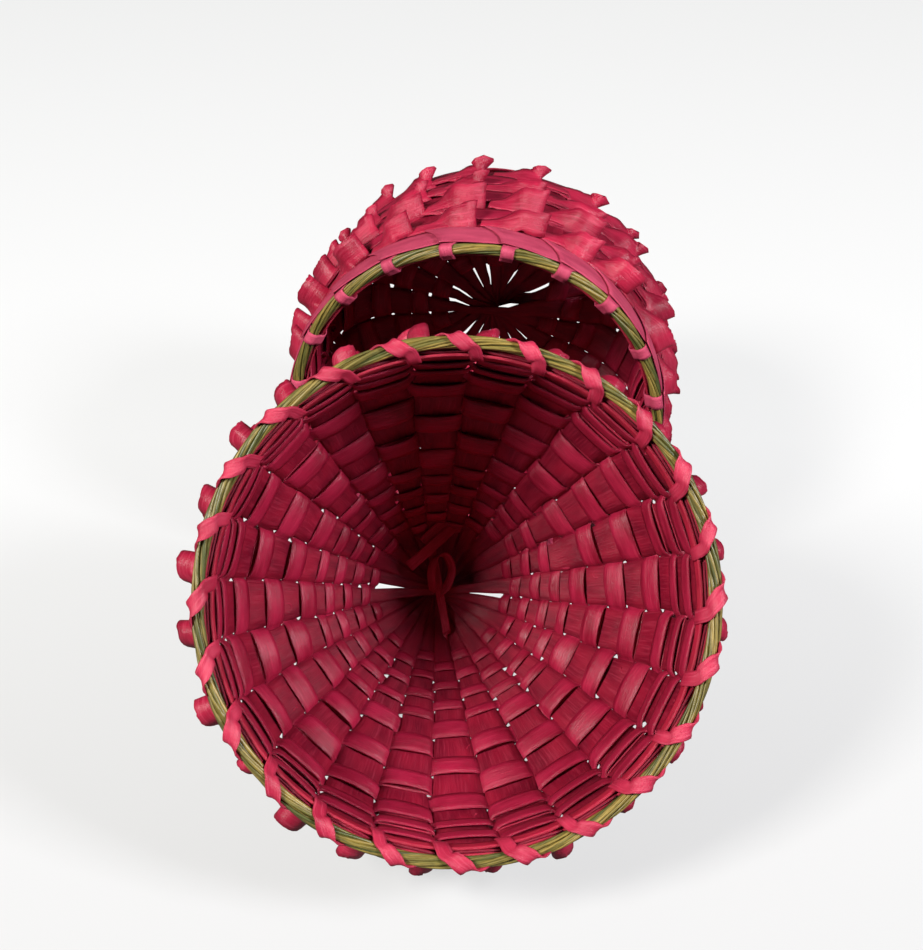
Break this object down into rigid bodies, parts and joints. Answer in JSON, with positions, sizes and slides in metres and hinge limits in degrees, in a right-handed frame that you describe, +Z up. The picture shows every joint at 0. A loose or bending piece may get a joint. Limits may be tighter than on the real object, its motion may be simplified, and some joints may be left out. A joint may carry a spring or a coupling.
{
  "type": "strawberry basket",
  "caption": "Small round splint basket with a pointed lift-off lid, dyed red, with standing porcupine curls and sweetgrass rims.",
  "frame": {"origin": "on the table under the centre of the bounding box of both pieces as they lie", "axes": "+Z up, -Y towards the side that both mouths face, +X to the right as seen from there"},
  "size_m": [0.136, 0.2272, 0.1286],
  "materials": {
    "stake_splint": "satin dyed ash",
    "weaver_splint": "satin dyed ash",
    "curl_splint": "satin dyed ash",
    "hoop_splint": "satin dyed ash",
    "binding_splint": "satin dyed ash",
    "sweetgrass": "dull, straight strands"
  },
  "bodies": {
    "basket": {"basket_splint_1": "stake_splint", "basket_splint_2": "stake_splint", "basket_splint_3": "stake_splint", "basket_splint_4": "stake_splint", "basket_splint_5": "stake_splint", "basket_splint_6": "stake_splint", "basket_splint_7": "stake_splint", "basket_splint_8": "stake_splint", "basket_splint_9": "stake_splint", "basket_splint_10": "stake_splint", "basket_weaver_1": "weaver_splint", "basket_weaver_2": "weaver_splint", "basket_weaver_3": "weaver_splint", "basket_weaver_4": "weaver_splint", "basket_weaver_5": "weaver_splint", "basket_weaver_6": "weaver_splint", "basket_weaver_7": "weaver_splint", "basket_curl_strip_1": "curl_splint", "basket_curl_strip_2": "curl_splint", "basket_curl_strip_3": "curl_splint", "basket_curl_strip_4": "curl_splint", "basket_base_weaver_a": "weaver_splint", "basket_base_weaver_b": "weaver_splint", "basket_inner_hoop": "hoop_splint", "basket_sweetgrass": "sweetgrass", "basket_rim_binder": "binding_splint"},
    "lid": {"lid_splint_1": "stake_splint", "lid_splint_2": "stake_splint", "lid_splint_3": "stake_splint", "lid_splint_4": "stake_splint", "lid_splint_5": "stake_splint", "lid_splint_6": "stake_splint", "lid_splint_7": "stake_splint", "lid_splint_8": "stake_splint", "lid_splint_9": "stake_splint", "lid_splint_10": "stake_splint", "lid_splint_11": "stake_splint", "lid_splint_12": "stake_splint", "lid_weaver_1": "weaver_splint", "lid_weaver_2": "weaver_splint", "lid_weaver_3": "weaver_splint", "lid_weaver_4": "weaver_splint", "lid_weaver_5": "weaver_splint", "lid_weaver_6": "weaver_splint", "lid_weaver_7": "weaver_splint", "lid_weaver_8": "weaver_splint", "lid_weaver_9": "weaver_splint", "lid_weaver_10": "weaver_splint", "lid_curl_strip_1": "curl_splint", "lid_curl_strip_2": "curl_splint", "lid_curl_strip_3": "curl_splint", "lid_curl_strip_4": "curl_splint", "lid_curl_strip_5": "curl_splint", "lid_tip_weaver_a": "weaver_splint", "lid_tip_weaver_b": "weaver_splint", "lid_inner_hoop": "hoop_splint", "lid_outer_hoop": "hoop_splint", "lid_sweetgrass": "sweetgrass", "lid_lashing": "binding_splint", "lid_tip_loop": "binding_splint"}
  },
  "joints": [
    {"name": "lid_lift", "type": "slide", "parent": "basket", "child": "lid", "axis": [0, 0, 1], "range_m": [0, 0.2]}
  ]
}
